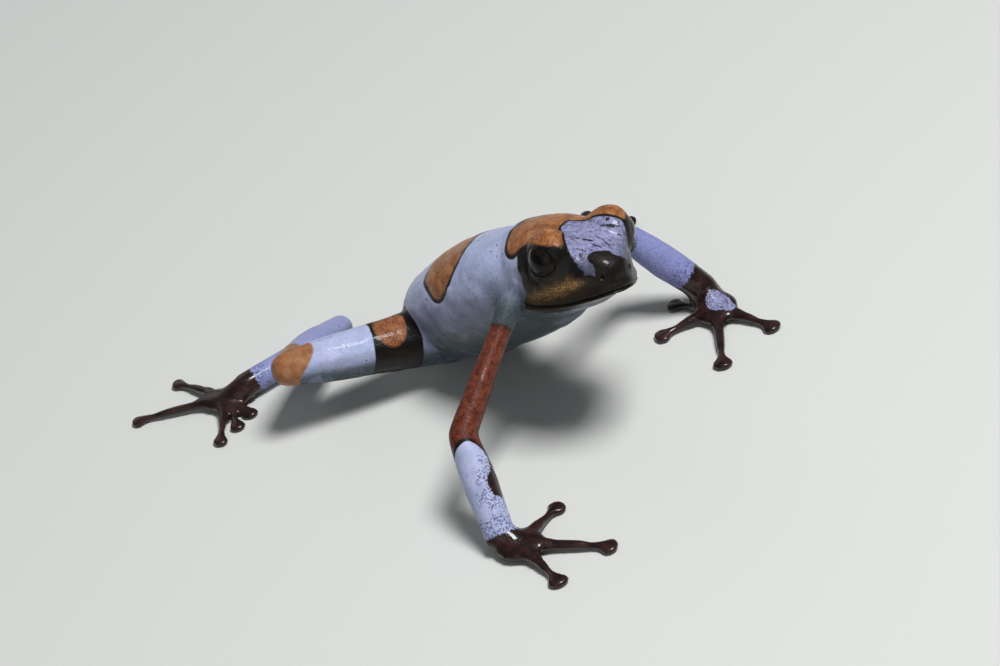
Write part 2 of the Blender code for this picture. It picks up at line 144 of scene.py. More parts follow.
# Bones that the markings follow: trunk from neck to vent, shoulder to palm, hip to sole
TRUNK_AXIS = (
    (-0.9, -13.15, 13.4), (-0.7, -9.65, 12.2), (-0.3, -5.65, 10.5), (0.3, -1.65, 8.4), (0.9, 2.35, 6.0),
    (1.4, 5.85, 4.3), (1.7, 8.35, 3.6),
)
ARM_AXES = {
    "right": ((-5.9, -11.65, 13.3), (-15.6, -12.85, 7.9), (-19.0, -17.55, 1.6), (-18.8, -19.35, 0.73)),
    "left": ((3.7, -11.45, 12.3), (11.2, -9.65, 8.3), (14.1, -13.95, 1.8), (13.2, -15.75, 0.73)),
}
LEG_AXES = {
    "right": (
        (-1.1, 2.55, 3.9), (-13.2, 9.95, 6.7), (-2.4, 15.15, 1.9), (-11.7, 18.65, 1.35),
        (-13.3, 19.95, 0.7),
    ),
    "left": (
        (2.9, 2.75, 4.2), (12.5, -2.05, 6.0), (7.9, 9.95, 2.2), (13.6, 5.75, 1.2), (14.5, 4.95, 0.7),
    ),
}
TRUNK_ROUND = 4.7
ARM_ROUND = 1.4
LEG_ROUND = 2.0

# Outlines on the side of the head, to the back and up
CAP = (
    (8.9, 4.0), (8.5, 1.2), (7.4, 0.1), (6.2, -0.65), (5.2, -0.9), (4.4, -0.75), (3.8, -0.1),
    (3.1, 0.45), (2.2, 0.9), (1.2, 1.33), (0.0, 1.68), (-1.0, 1.74), (-1.7, 1.62), (-2.4, 1.35),
    (-4.2, 4.0),
)
MASK = (
    (4.3, 0.1), (3.7, -0.8), (3.2, -1.6), (2.5, -2.4), (1.9, -3.2), (2.0, -4.35), (0.5, -4.5),
    (-1.5, -4.3), (-3.3, -3.8), (-4.6, -3.3), (-5.4, -3.1), (-7.0, -3.0), (-7.0, 4.0), (3.9, 4.0),
)
CHEEK = (
    (1.4, -2.85), (0.8, -2.4), (-0.1, -1.9), (-1.4, -1.35), (-2.1, -1.0), (-3.0, -1.0), (-3.45, -1.35),
    (-3.0, -1.9), (-1.7, -2.65), (-0.1, -3.35), (1.2, -3.65), (1.9, -3.4),
)

# Outline on top of the snout, to the left and back
SNOUT = (
    (-0.8, 1.55), (0.0, 2.0), (0.6, 1.95), (1.5, 0.6), (2.1, -0.4), (2.6, -1.15), (3.1, -1.8),
    (2.9, -2.5), (2.3, -3.2), (1.7, -3.95), (1.1, -4.4), (0.4, -4.2), (0.05, -3.6), (-0.5, -3.25),
    (-1.2, -2.95), (-1.6, -3.05), (-1.65, -3.5), (-1.6, -3.9), (-1.85, -4.15), (-2.15, -3.8),
    (-2.35, -3.2), (-2.55, -2.6), (-2.65, -2.0), (-2.35, -1.2), (-1.8, -0.4), (-1.4, 0.6),
)
# Dark streaks on the snout: both ends, and half the width
STREAKS = (
    (-1.3, -0.4, -0.72, -0.95, 0.09), (-0.62, -1.2, -0.18, -1.9, 0.12), (0.4, -1.3, 0.62, -2.2, 0.05),
    (0.62, -2.2, 0.6, -3.1, 0.09), (1.5, -0.8, 1.85, -1.25, 0.05), (1.85, -1.25, 2.25, -1.65, 0.11),
    (2.25, -1.65, 2.8, -1.95, 0.05), (2.12, -0.9, 2.22, -1.0, 0.13), (-0.57, 0.15, 0.5, -0.1, 0.05),
    (-1.74, -1.9, -1.42, -2.35, 0.07), (-0.3, -2.8, 0.2, -3.0, 0.05), (2.1, -2.05, 2.4, -2.3, 0.06),
    (1.2, -2.6, 1.5, -3.3, 0.06),
)

# Outlines on the unrolled trunk: along it from the neck, and round it to the left
BACK_SPOT = (
    (8.7, 0.25), (8.0, -1.25), (8.05, -2.5), (8.75, -4.2), (9.7, -5.3), (10.8, -5.75), (11.8, -5.1),
    (13.5, -3.5), (14.0, -1.2), (13.9, 1.4), (12.8, 3.4), (11.2, 4.3), (9.8, 3.4), (9.1, 1.8),
)
FLANK_SPOT = (
    (4.6, 6.0), (6.0, 5.4), (7.6, 6.1), (8.0, 7.8), (6.8, 9.1), (5.0, 8.9), (4.2, 7.4),
)
# The dark patch on the inner side of the right forearm, along the arm and round it
ARM_PATCH = (
    (12.2, -2.2), (13.6, -1.7), (14.9, -1.15), (15.4, -0.6), (16.1, -0.5), (16.8, -0.65), (17.1, -1.3),
    (17.0, -3.0), (15.2, -3.9), (12.6, -3.4),
)
# Pale spots on the left hand: middle and radius
HAND_SPOTS = (((13.25, -16.1, 1.6), 1.12), ((13.3, -17.1, 1.2), 0.65))

# Markings of the limbs, along their bones: the sleeve from the shoulder, the band and its saddle
# from the hip, the cap of the knee on the thigh, and the dark hands and feet
UNMARKED = -9.0
RIM = 0.29
SLEEVE_FROM = 1.5
CUFF_PAST_ELBOW = {"right": 0.5, "left": -1.3}
DARK_HAND_FROM = {"right": -0.25, "left": 2.1}
DARK_FOOT_FROM = 0.9
WRIST_RADIUS = 1.5
BAND = (2.9, 7.2)
SADDLE = ((5.25, -0.45), (1.5, 1.9))
KNEE_CAP_BELOW = 0.8
KNEE_CAP_ABOVE = 2.3
KNEE_CAP_RADIUS = 2.85
# Kinds of node whose skin gets painted shade where it faces down
SHADED_KINDS = ("torso", "head", "upper", "thigh", "shank")

# Hues of the warm markings, from 0 for golden brown, and shares of painted blue shade
SADDLE_HUE = 0.2
RUST_HUE = 0.5
ORANGE_HUE = 1.0
LEG_PAINTED_SHADE = 0.6
FAR_ARM_PAINTED_SHADE = 0.8

# Slack folds and muscle, and how much slimmer the shoulders are
TRUNK_FOLDS = 0.1
LIMB_FOLDS = 0.05
SHOULDER_SLIM = 0.3

# Middles of the palms and of the balls of the feet, and the heading of the longest digit
PALMS = {"right": ((-18.8, -19.35), 24.0), "left": ((13.2, -15.75), 50.0)}
SOLES = {"right": ((-13.3, 19.95), -140.0), "left": ((14.5, 4.95), -60.0)}
# Digits: length from the middle, and the turn from the longest one
FINGERS = ((4.3, 124.0), (5.2, 71.0), (7.5, 0.0), (5.8, -50.0))
TOES = ((3.3, 132.0), (4.1, 106.0), (5.5, 76.0), (8.2, 0.0), (6.4, -34.0))
DIGIT_SWINGS = {"hand_right": (7.0, 0.0, 0.0, 6.4), "foot_right": (0.0, 0.0, 11.0, 0.0, -8.0)}
# Shares by which palms, discs and waists differ from the solids
PALM_WIDER = 0.2
DISC_WIDER = 0.3
DISC_LONGER = 0.16
DISC_FLATTER = 0.16
WAIST_NARROWER = 0.2
WAIST_FLATTER = 0.12
WAIST_BACK = 1.35

# Skin mesh: how ends are found and drawn out, and the passes of smoothing by vertex group
SLOT_LIMIT = 0.6
END_REACH = 0.36
FACING = 0.9
WELD = 0.001 * MM
VOXEL = 0.15
SOFT_KINDS = ("upper", "forearm", "thigh", "shank", "tarsus", "torso")
SMOOTHING = (("", 5), ("limbs", 14), ("trunk", 30), ("orbit", 34), ("", 3))
WEIGHT_STEPS = 20
ON_FLOOR = 0.02
TRIANGLES = 192000

# Colours of the skin and the eyes, and pairs of colours that they wander between
LAVENDER = ((0.36, 0.41, 0.62), (0.44, 0.46, 0.68))
CLOUD = (0.28, 0.36, 0.47)
VEIN = (0.2, 0.19, 0.42)
# Painted blue shade for the far arm, the shanks and the tarsi
PAINTED_SHADE_BLUE = (0.15, 0.165, 0.4)
# Painted green-grey shade for skin that faces down, the armpits and the muzzle; its green tint is a
# painted reflection
GREEN_SHADE = (0.03, 0.044, 0.042)
# Painted highlight on the tops of the granules
PAINTED_GRANULE_HIGHLIGHT = (0.62, 0.63, 0.9)
SPECK = (0.03, 0.02, 0.09)
PEPPER = (0.055, 0.045, 0.14)
COAL = ((0.003, 0.0025, 0.003), (0.009, 0.006, 0.004))
BROWN = ((0.185, 0.062, 0.02), (0.37, 0.155, 0.06))
RUST = ((0.07, 0.014, 0.008), (0.155, 0.04, 0.019))
ORANGE = ((0.24, 0.095, 0.036), (0.36, 0.17, 0.08))
# Painted glints on the granules of the brown and the rust markings
GLINT = ((0.62, 0.31, 0.14), (0.22, 0.065, 0.033))
GOLD = ((0.12, 0.06, 0.02), (0.4, 0.23, 0.1))
CHEEK_SHADE = (0.03, 0.021, 0.009)
SNOUT_LAVENDER = ((0.17, 0.175, 0.3), (0.28, 0.285, 0.46))
# Painted shade on the lower part of the snout patch
SNOUT_SHADE = (0.05, 0.06, 0.085)
SNOUT_DOT = (0.035, 0.03, 0.09)
STREAK = (0.01, 0.008, 0.014)
STROKE = (0.012, 0.01, 0.022)
MAROON = ((0.011, 0.0045, 0.0045), (0.037, 0.014, 0.011))
IRIS = ((0.004, 0.003, 0.003), (0.012, 0.008, 0.005))
IRIS_EDGE = (0.028, 0.022, 0.01)
PUPIL = (0.002, 0.002, 0.002)


def deselect():
    for thing in bpy.data.objects:
        thing.select_set(False)


def take(*things):
    """Select these objects and make the first one active."""
    deselect()
    for thing in things:
        thing.select_set(True)
    bpy.context.view_layer.objects.active = things[0]


def modifier(thing, kind, **settings):
    """Add a modifier with these settings and apply it."""
    take(thing)
    added = thing.modifiers.new(kind.lower(), kind)
    for key, value in settings.items():
        setattr(added, key, value)
    bpy.ops.object.modifier_apply(modifier=added.name)


def join(*things):
    """Join objects into the first one."""
    take(*things)
    bpy.ops.object.join()


def head_place():
    """The head's axes in the model's, in millimetres."""
    yaw = Matrix.Rotation(math.radians(HEAD_YAW), 4, "Z")
    pitch = Matrix.Rotation(math.radians(HEAD_PITCH), 4, "X")
    roll = Matrix.Rotation(math.radians(HEAD_ROLL), 4, "Y")
    return Matrix.Translation(Vector(HEAD_MIDDLE)) @ yaw @ pitch @ roll


def eye_place(sign):
    """The eye's own axes: z out of the pupil, y to the back of the head."""
    outward = Matrix.Rotation(math.radians(90.0 * sign), 4, "Y")
    forward = Matrix.Rotation(math.radians(-EYE_TURN_FORWARD * sign), 4, "Z")
    upward = Matrix.Rotation(math.radians(-EYE_TURN_UP * sign), 4, "Y")
    middle = Matrix.Translation((sign * EYE_APART / 2, 0.0, EYE_HEIGHT))
    return head_place() @ middle @ forward @ upward @ outward


def into(place, points):
    """Points of the model in the axes of a place."""
    turn = np.array(place.inverted())
    return points @ turn[:3, :3].T + turn[:3, 3]


def out_of(place, points):
    """Points in the axes of a place, in the model's."""
    turn = np.array(place)
    return points @ turn[:3, :3].T + turn[:3, 3]


def corners_of(thing):
    """A mesh's corners, in millimetres."""
    values = np.empty(len(thing.data.vertices) * 3)
    thing.data.vertices.foreach_get("co", values)
    return values.reshape(-1, 3) / MM


def set_corners(thing, points):
    thing.data.vertices.foreach_set("co", (points * MM).ravel())
    thing.data.update()


def normals_of(thing):
    values = np.empty(len(thing.data.vertices) * 3, dtype=np.float32)
    thing.data.vertex_normals.foreach_get("vector", values)
    return values.reshape(-1, 3).astype(float)


def face_middles(thing):
    """The middles of a mesh's faces, in millimetres."""
    middles = np.empty(len(thing.data.polygons) * 3)
    thing.data.polygons.foreach_get("center", middles)
    return middles.reshape(-1, 3) / MM


def ramp(low, high, values):
    """A smooth step from 0 at low to 1 at high."""
    share = np.clip((values - low) / (high - low), 0.0, 1.0)
    return share * share * (3.0 - 2.0 * share)


def bump_of(values, width):
    """A rounded hump of height 1 at 0."""
    return np.exp(-((values / width) ** 2))


def rough(points, scale, seed=0.0):
    """Smooth noise from about -1 to 1 whose swells are about this many millimetres apart."""
    shift = Vector((seed * 7.3, seed * 3.1, -seed * 5.7))
    return np.array([noise.noise(Vector(point) / scale + shift) for point in points])


def along_path(path, steps):
    """Points on a curve that passes through each point of a path."""
    rows = []
    last = len(path) - 1
    for index in range(last):
        a, b, c, d = (np.array(path[min(max(index + k, 0), last)]) for k in (-1, 0, 1, 2))
        for step in range(steps):
            t = step / steps
            bend = (2 * a - 5 * b + 4 * c - d) * t * t
            twist = (3 * b - a - 3 * c + d) * t * t * t
            rows.append(b + 0.5 * ((c - a) * t + bend + twist))
    rows.append(np.array(path[last]))
    return np.array(rows)


def near_line(points, line):
    """The distance of points to a line through a few points."""
    gap = np.full(len(points), np.inf)
    for start, end in zip(np.array(line[:-1]), np.array(line[1:])):
        run = end - start
        t = np.clip((points - start) @ run / (run @ run), 0.0, 1.0)
        gap = np.minimum(gap, np.linalg.norm(points - start - t[:, None] * run, axis=1))
    return gap


def unroll(points, axis, round_radius):
    """For each point: how far along an axis it lies, how far round it to the left, and its distance."""
    best = np.full(len(points), np.inf)
    far = np.zeros(len(points))
    turn = np.zeros(len(points))
    done = 0.0
    last = len(axis) - 2
    for index, (start, end) in enumerate(zip(np.array(axis[:-1]), np.array(axis[1:]))):
        run = end - start
        length = np.linalg.norm(run)
        ahead = run / length
        low = 0.0 if index > 0 else -np.inf
        high = length if index < last else np.inf
        t = np.clip((points - start) @ ahead, low, high)
        off = points - start - t[:, None] * ahead
        gap = np.linalg.norm(off, axis=1)
        up = np.array((0.0, 0.0, 1.0)) - ahead * ahead[2]
        up /= np.linalg.norm(up)
        side = np.cross(ahead, up)
        closer = gap < best
        best = np.where(closer, gap, best)
        far = np.where(closer, done + t, far)
        turn = np.where(closer, np.arctan2(off @ side, off @ up) * round_radius, turn)
        done += length
    return far, turn, best


def lip_line():
    """The line of the mouth round the whole snout, from the left corner to the right one."""
    left = along_path(LIPS, 6)
    right = left[:-1][::-1] * (-1.0, 1.0, 1.0)
    return np.vstack([left, right])


def near_lips(points):
    """For points on the head: the distance from above to the line of the mouth, and the height."""
    line = lip_line()
    gap = np.full(len(points), np.inf)
    height = np.zeros(len(points))
    for start, end in zip(line[:-1], line[1:]):
        run = (end - start)[:2]
        t = np.clip((points[:, :2] - start[:2]) @ run / (run @ run), 0.0, 1.0)
        spot = start + t[:, None] * (end - start)
        away = np.linalg.norm(points[:, :2] - spot[:, :2], axis=1)
        closer = away < gap
        gap = np.where(closer, away, gap)
        height = np.where(closer, points[:, 2] - spot[:, 2], height)
    return gap, height


def eye_share(points, sign):
    """Where points lie round an eye: 1 on the edge of the lids, and less over the eyeball."""
    local = into(eye_place(sign), points)
    reach = np.linalg.norm(local, axis=1)
    ahead = local / np.maximum(reach, 1e-6)[:, None]
    share = np.hypot(ahead[:, 1] * LID_RADIUS / LID_WIDE, ahead[:, 0] * LID_RADIUS / LID_TALL)
    return np.where(ahead[:, 2] > 0.0, share, BEHIND_EYE), reach, local


def on_skin(skin, start, ahead):
    """Where a line from inside the head leaves the skin, in the head's axes."""
    place = head_place()
    turned = place.to_3x3() @ Vector(ahead).normalized()
    _, spot, _, _ = skin.ray_cast(place @ Vector(start) * MM, turned)
    return np.array(place.inverted() @ (spot / MM))


def node_labels(points):
    """The kind and the side of the nearest CAD node, for each point, such as hand and right."""
    names = []
    tree = KDTree(sum(len(frame["nodes"][name].data.vertices) for name in FLESH))
    for name in FLESH:
        for corner in corners_of(frame["nodes"][name]):
            tree.insert(corner, len(names))
            names.append(name)
    tree.balance()
    nearest = [names[tree.find(point)[1]].split("_") for point in points]
    return np.array([words[0] for words in nearest]), np.array([words[-1] for words in nearest])


def group(thing, name, weights):
    """A vertex group with these weights."""
    found = thing.vertex_groups.new(name=name)
    steps = np.round(np.clip(weights, 0.0, 1.0) * WEIGHT_STEPS).astype(int)
    for step in np.unique(steps):
        if step:
            found.add(np.flatnonzero(steps == step).tolist(), step / WEIGHT_STEPS, "REPLACE")


def find_ends(copies):
    """Number the flat ends that face another node across a slot, in a face attribute."""
    count = 0
    for copy in copies:
        ends = np.zeros(len(copy.data.polygons), dtype=np.int32)
        for other in copies:
            if other is copy:
                continue
            found = []
            for face in copy.data.polygons:
                hit, _, normal, _ = other.ray_cast(face.center, face.normal, distance=SLOT_LIMIT * MM)
                if hit and normal.dot(face.normal) < -FACING:
                    found.append(face.index)
            if found:
                count += 1
                ends[found] = count
        copy.data.attributes.new("end", "INT", "FACE").data.foreach_set("value", ends)
    return count


def copy_flesh(names):
    """A merged copy of the flesh nodes, each flat end drawn out across its slot."""
    take(*[frame["nodes"][name] for name in names])
    bpy.ops.object.duplicate()
    copies = sorted(bpy.context.selected_objects, key=lambda thing: thing.name)
    for copy in copies:
        take(copy)
        bpy.ops.object.parent_clear(type="CLEAR_KEEP_TRANSFORM")
    count = find_ends(copies)
    join(*copies)
    skin = copies[0]
    skin.name = "frog_skin"
    bpy.ops.object.mode_set(mode="EDIT")
    bpy.ops.mesh.select_mode(type="FACE")
    bpy.ops.mesh.select_all(action="SELECT")
    bpy.ops.mesh.remove_doubles(threshold=WELD)
    for number in range(1, count + 1):
        bpy.ops.mesh.select_all(action="DESELECT")
        mesh = bmesh.from_edit_mesh(skin.data)
        layer = mesh.faces.layers.int["end"]
        ahead = Vector()
        for face in mesh.faces:
            if face[layer] == number:
                face.select_set(True)
                ahead += face.normal * face.calc_area()
        bmesh.update_edit_mesh(skin.data)
        step = ahead.normalized() * END_REACH * MM
        bpy.ops.mesh.extrude_region_move(TRANSFORM_OT_translate={"value": step})
    bpy.ops.object.mode_set(mode="OBJECT")
    return skin


def fill_face(skin):
    """Fill the eye sockets and the slit of the mouth, to be carved again in finer mesh."""
    fillers = []
    for sign in SIDES.values():
        place = eye_place(sign).translation * MM
        bpy.ops.mesh.primitive_uv_sphere_add(
            segments=40, ring_count=24, radius=SOCKET_FILL * MM, location=place
        )
        fillers.append(bpy.context.object)
    path = lip_line()
    inward = np.array((0.0, 1.0, 0.0)) - path * (1.0, 1.0, 0.0)
    path = path + inward / np.linalg.norm(inward, axis=1)[:, None] * SLIT_FILL_INSET
    curve = bpy.data.curves.new("mouth_fill", "CURVE")
    curve.dimensions = "3D"
    curve.bevel_depth = SLIT_FILL_RADIUS * MM
    curve.use_fill_caps = True
    spline = curve.splines.new("POLY")
    spline.points.add(len(path) - 1)
    for point, spot in zip(spline.points, out_of(head_place(), path)):
        point.co = (*(spot * MM), 1.0)
    mouth = bpy.data.objects.new("mouth_fill", curve)
    bpy.context.collection.objects.link(mouth)
    take(mouth)
    bpy.ops.object.convert(target="MESH")
    fillers.append(mouth)
    join(skin, *fillers)
    take(skin)
    bpy.ops.object.transform_apply(location=True, rotation=True, scale=True)


def soften(skin):
    """Smooth the skin: the trunk and the rims of the eyes most, the digits least."""
    points = corners_of(skin)
    kinds, _ = node_labels(points)
    nape = ramp(3.6, 6.6, into(head_place(), points)[:, 1])
    orbit = np.zeros(len(points))
    for sign in SIDES.values():
        share, reach, _ = eye_share(points, sign)
        orbit = np.maximum(orbit, ramp(1.15, 1.7, share) * ramp(4.6, 3.4, reach))
    group(skin, "trunk", np.where(kinds == "torso", 1.0, np.where(kinds == "head", nape, 0.0)))
    group(skin, "limbs", np.where(np.isin(kinds, SOFT_KINDS), 1.0, 0.0))
    group(skin, "orbit", orbit)
    for name, times in SMOOTHING:
        modifier(skin, "SMOOTH", factor=0.5, iterations=times, vertex_group=name)


def refine(skin, wanted):
    """Subdivide the wanted faces."""
    take(skin)
    bpy.ops.object.mode_set(mode="EDIT")
    bpy.ops.mesh.select_mode(type="FACE")
    bpy.ops.mesh.select_all(action="DESELECT")
    bpy.ops.object.mode_set(mode="OBJECT")
    skin.data.polygons.foreach_set("select", wanted)
    bpy.ops.object.mode_set(mode="EDIT")
    bpy.ops.mesh.subdivide(number_cuts=1)
    bpy.ops.object.mode_set(mode="OBJECT")


def flex(points, normals, kinds):
    """Slack folds on the trunk and the play of muscle under the skin of the limbs."""
    depth = np.zeros(len(points))
    depth[kinds == "torso"] = TRUNK_FOLDS
    depth[np.isin(kinds, ("thigh", "shank", "upper", "forearm"))] = LIMB_FOLDS
    moving = np.flatnonzero(depth)
    swell = np.zeros(len(points))
    swell[moving] = rough(points[moving], 1.9, 1.0) + 0.5 * rough(points[moving], 0.9, 2.0)
    return points + normals * (depth * swell)[:, None]


def slim_shoulders(points, kinds):
    """Draw the skin in round the top of each upper arm."""
    for side in SIDES:
        along, _, gap = unroll(points, ARM_AXES[side], ARM_ROUND)
        shoulder, elbow = np.array(ARM_AXES[side][:2])
        ahead = (elbow - shoulder) / np.linalg.norm(elbow - shoulder)
        spot = shoulder + np.clip(along, -1.0, 11.0)[:, None] * ahead
        near = ramp(2.9, 2.0, gap) * ramp(-2.2, 0.0, along) * ramp(8.0, 2.0, along)
        near = np.where(np.isin(kinds, ("torso", "upper", "head")), near, 0.0)
        points = points + (spot - points) * (SHOULDER_SLIM * near)[:, None]
    return points


def shape_digit(spots, length, turn, swing, low):
    """Swing one digit about the middle of its palm, broaden its disc and draw in its waist."""
    ahead = np.array((math.sin(turn), -math.cos(turn), 0.0))
    aside = np.array((-ahead[1], ahead[0], 0.0))
    far, off = spots @ ahead, spots @ aside
    beside = ramp(1.3, 1.0, np.abs(off))
    spots += aside * (far * (ramp(1.0, 2.4, far) * beside * low * swing))[:, None]
    near = beside * ramp(length - 2.6, length - 2.0, far) * low
    past = far - length
    wider = DISC_WIDER * bump_of(past - 0.12, 0.72) - WAIST_NARROWER * bump_of(past + WAIST_BACK, 0.62)
    flatter = DISC_FLATTER * bump_of(past, 0.8) + WAIST_FLATTER * bump_of(past + WAIST_BACK, 0.6)
    spots += aside * (off * wider * near)[:, None]
    spots += ahead * (DISC_LONGER * bump_of(past - 0.5, 0.5) * near)[:, None]
    spots[:, 2] *= 1.0 - flatter * near


def shape_digits(points, kinds, sides):
    """Broad discs at the ends of the digits, a waist behind each disc, and broader palms."""
    for kind, middles, digits in (("hand", PALMS, FINGERS), ("foot", SOLES, TOES)):
        for side, sign in SIDES.items():
            chosen = np.flatnonzero((kinds == kind) & (sides == side))
            (middle_x, middle_y), heading = middles[side]
            spots = points[chosen] - (middle_x, middle_y, 0.0)
            apart = np.hypot(spots[:, 0], spots[:, 1])
            low = ramp(2.1, 1.3, spots[:, 2])
            spots[:, :2] *= (1.0 + PALM_WIDER * ramp(3.2, 1.9, apart) * low)[:, None]
            swings = DIGIT_SWINGS.get(kind + "_" + side, (0.0,) * len(digits))
            for (length, splay), swing in zip(digits, swings):
                turn = -sign * math.radians(heading + splay)
                shape_digit(spots, length, turn, math.radians(swing), low)
            points[chosen] = spots + (middle_x, middle_y, 0.0)
    return points


def fine_places(points, nostrils, eardrums):
    """Which places on the head are carved in finer mesh."""
    head = into(head_place(), points)
    gap, height = near_lips(head)
    chosen = (gap < 1.2) & (np.abs(height) < 0.75) & (head[:, 1] < 2.6)
    for sign in SIDES.values():
        share, reach, _ = eye_share(points, sign)
        chosen |= (share > 0.7) & (share < LID_SHARE) & (reach < LID_REACH)
        chosen |= np.linalg.norm(head - nostrils[sign], axis=1) < 0.6
        chosen |= np.linalg.norm(head - eardrums[sign], axis=1) < 1.1
    return chosen


def carve_eyes(points):
    """Sink the skin under each eyeball, with the edge of the lids standing round it."""
    for sign in SIDES.values():
        share, reach, local = eye_share(points, sign)
        near = (share < LID_SHARE) & (reach < LID_REACH)
        outside = np.maximum(ramp(1.0, 1.4, share), ramp(2.25, 2.9, reach))
        lid = np.minimum(LID_RADIUS + (reach - LID_RADIUS) * outside, reach)
        behind = ramp(-0.5, 0.6, local[:, 1] / LID_WIDE)
        rings = bump_of(share - 1.16, FOLD_WIDTH) + 0.8 * bump_of(share - 1.29, FOLD_WIDTH)
        lid = lid + FOLD_RISE * rings * (0.35 + 0.65 * behind)
        target = UNDER_EYE + (lid - UNDER_EYE) * ramp(0.96, 1.05, share)
        moved = out_of(eye_place(sign), local * (target / np.maximum(reach, 0.1))[:, None])
        points = np.where(near[:, None], moved, points)
    return points


def carve_face(points, normals, nostrils, eardrums):
    """The line of the mouth with its lips, the nostrils, the ridges of the snout and the eardrums."""
    head = into(head_place(), points)
    gap, height = near_lips(head)
    jaw = ramp(0.0, -0.8, height) * ramp(3.0, 1.2, gap) * ramp(0.5, -2.5, head[:, 1])
    head[:, 2] += JAW_RISE * jaw
    points = out_of(head_place(), head)
    gap, height = near_lips(head)
    lipped = (gap < 1.5) * ramp(2.6, 1.4, head[:, 1])
    lips = bump_of(height - LIP_APART, LIP_WIDTH) + bump_of(height + LIP_APART, LIP_WIDTH)
    rise = -SLIT_DEPTH * bump_of(height, SLIT_WIDTH) * lipped
    rise += LIP_RISE * lips * lipped
    crown = np.hypot(head[:, 0] * 0.7, head[:, 1] - CROWN_BACK)
    rise -= CROWN_SINK * bump_of(crown, CROWN_WIDTH) * ramp(-1.0, 0.4, head[:, 2])
    for sign in SIDES.values():
        mirror = np.array((sign, 1.0, 1.0))
        canthus = near_line(head, np.array(CANTHUS) * mirror)
        rise += CANTHUS_RISE * bump_of(canthus, CANTHUS_WIDTH)
        lore = np.linalg.norm(head - np.array(LORE) * mirror, axis=1)
        rise -= LORE_DEPTH * bump_of(lore, LORE_WIDTH)
        nostril = np.linalg.norm(head - nostrils[sign], axis=1)
        rim = NOSTRIL_RIM * bump_of(nostril - NOSTRIL_RADIUS, NOSTRIL_WIDTH)
        rise += rim - NOSTRIL_DEPTH * bump_of(nostril, NOSTRIL_WIDTH)
        drum = np.linalg.norm(head - eardrums[sign], axis=1)
        rise += DRUM_RIM * bump_of(drum - DRUM_RADIUS, 0.16) - DRUM_DEPTH * ramp(0.7, 0.5, drum)
    return points + normals * rise[:, None]


def thin_out(skin):
    """Bring the skin under the limit of triangles, taking least from the head."""
    modifier(skin, "TRIANGULATE")
    kinds, _ = node_labels(corners_of(skin))
    group(skin, "plain", np.where(kinds == "head", 0.0, 1.0))
    ratio = TRIANGLES / len(skin.data.polygons)
    modifier(skin, "DECIMATE", ratio=ratio, vertex_group="plain", vertex_group_factor=1.0)


def build_skin():
    """One skin without seams, in place of all the flesh nodes."""
    skin = copy_flesh(FLESH)
    fill_face(skin)
    modifier(skin, "REMESH", mode="VOXEL", voxel_size=VOXEL * MM)
    soften(skin)
    nostrils = {sign: on_skin(skin, (0.0, -3.3, -1.4), (sign, -0.85, 0.35)) for sign in SIDES.values()}
    eardrums = {sign: on_skin(skin, (0.0, 3.5, -2.1), (sign, 0.0, 0.0)) for sign in SIDES.values()}
    points = corners_of(skin)
    kinds, sides = node_labels(points)
    points = slim_shoulders(flex(points, normals_of(skin), kinds), kinds)
    set_corners(skin, shape_digits(points, kinds, sides))
    refine(skin, fine_places(face_middles(skin), nostrils, eardrums))
    set_corners(skin, carve_eyes(corners_of(skin)))
    points = carve_face(corners_of(skin), normals_of(skin), nostrils, eardrums)
    points[:, 2] = np.where(points[:, 2] < ON_FLOOR, 0.0, points[:, 2])
    set_corners(skin, points)
    thin_out(skin)
    set_corners(skin, np.maximum(corners_of(skin), (-np.inf, -np.inf, 0.0)))
    return skin


def inside(spots, outline):
    """How far points of a plane are inside a rounded outline: negative outside it."""
    outline = [tuple(spot) for spot in along_path((outline[-1], *outline, *outline[:2]), 4)[4:-5]]
    gap = np.full(len(spots), np.inf)
    enclosed = np.zeros(len(spots), dtype=bool)
    across, up = spots[:, 0], spots[:, 1]
    for (x0, y0), (x1, y1) in zip(outline, outline[1:] + outline[:1]):
        run = np.array((x1 - x0, y1 - y0))
        t = np.clip(((spots - (x0, y0)) @ run) / (run @ run), 0.0, 1.0)
        gap = np.minimum(gap, np.linalg.norm(spots - (x0, y0) - t[:, None] * run, axis=1))
        if y0 != y1:
            crossing = x0 + (up - y0) / (y1 - y0) * (x1 - x0)
            enclosed ^= ((y0 > up) != (y1 > up)) & (across < crossing)
    return np.where(enclosed, gap, -gap)


def least(first, second, soft):
    """The smaller of two distances, rounded off over this many millimetres where they meet."""
    share = np.clip(0.5 + 0.5 * (second - first) / soft, 0.0, 1.0)
    return second + (first - second) * share - soft * share * (1.0 - share)


def within(low, high, values):
    """How far values are inside a range: negative outside it."""
    return np.minimum(values - low, high - values)


def widen(marks, name, where, shape):
    """Add a shape to a marking, where it applies."""
    marks[name] = np.maximum(marks[name], np.where(where, shape, UNMARKED))


def paint(marks, where, shape, hue, past):
    """Add a warm shape, whose hue reaches this far past its edge."""
    widen(marks, "warm", where, shape)
    marks["hue"] = np.where(where & (shape > -past), hue, marks["hue"])


def mark_head(marks, head):
    """The cap and mask of the head, its gilt cheeks, and the snout's pale patch with its streaks."""
    profile, back = head[:, 1:], head[:, 1]
    marks["warm"] = np.where(back < 9.0, inside(profile, CAP), UNMARKED)
    marks["black"] = np.where(back < 4.5, inside(profile, MASK), UNMARKED)
    marks["cheek"] = np.where(back < 4.5, inside(profile, CHEEK), UNMARKED)
    snout = np.minimum(inside(head[:, :2], SNOUT), head[:, 2] + 0.75)
    marks["snout"] = np.where(back < 3.0, snout, UNMARKED)
    streaks = np.full(len(head), UNMARKED)
    for x0, y0, x1, y1, wide in STREAKS:
        line = ((x0, y0, 0.0), (x1, y1, 0.0))
        streaks = np.maximum(streaks, wide - near_line(head * (1.0, 1.0, 0.0), line))
    marks["streaks"] = np.where(marks["snout"] > -0.5, streaks, UNMARKED)


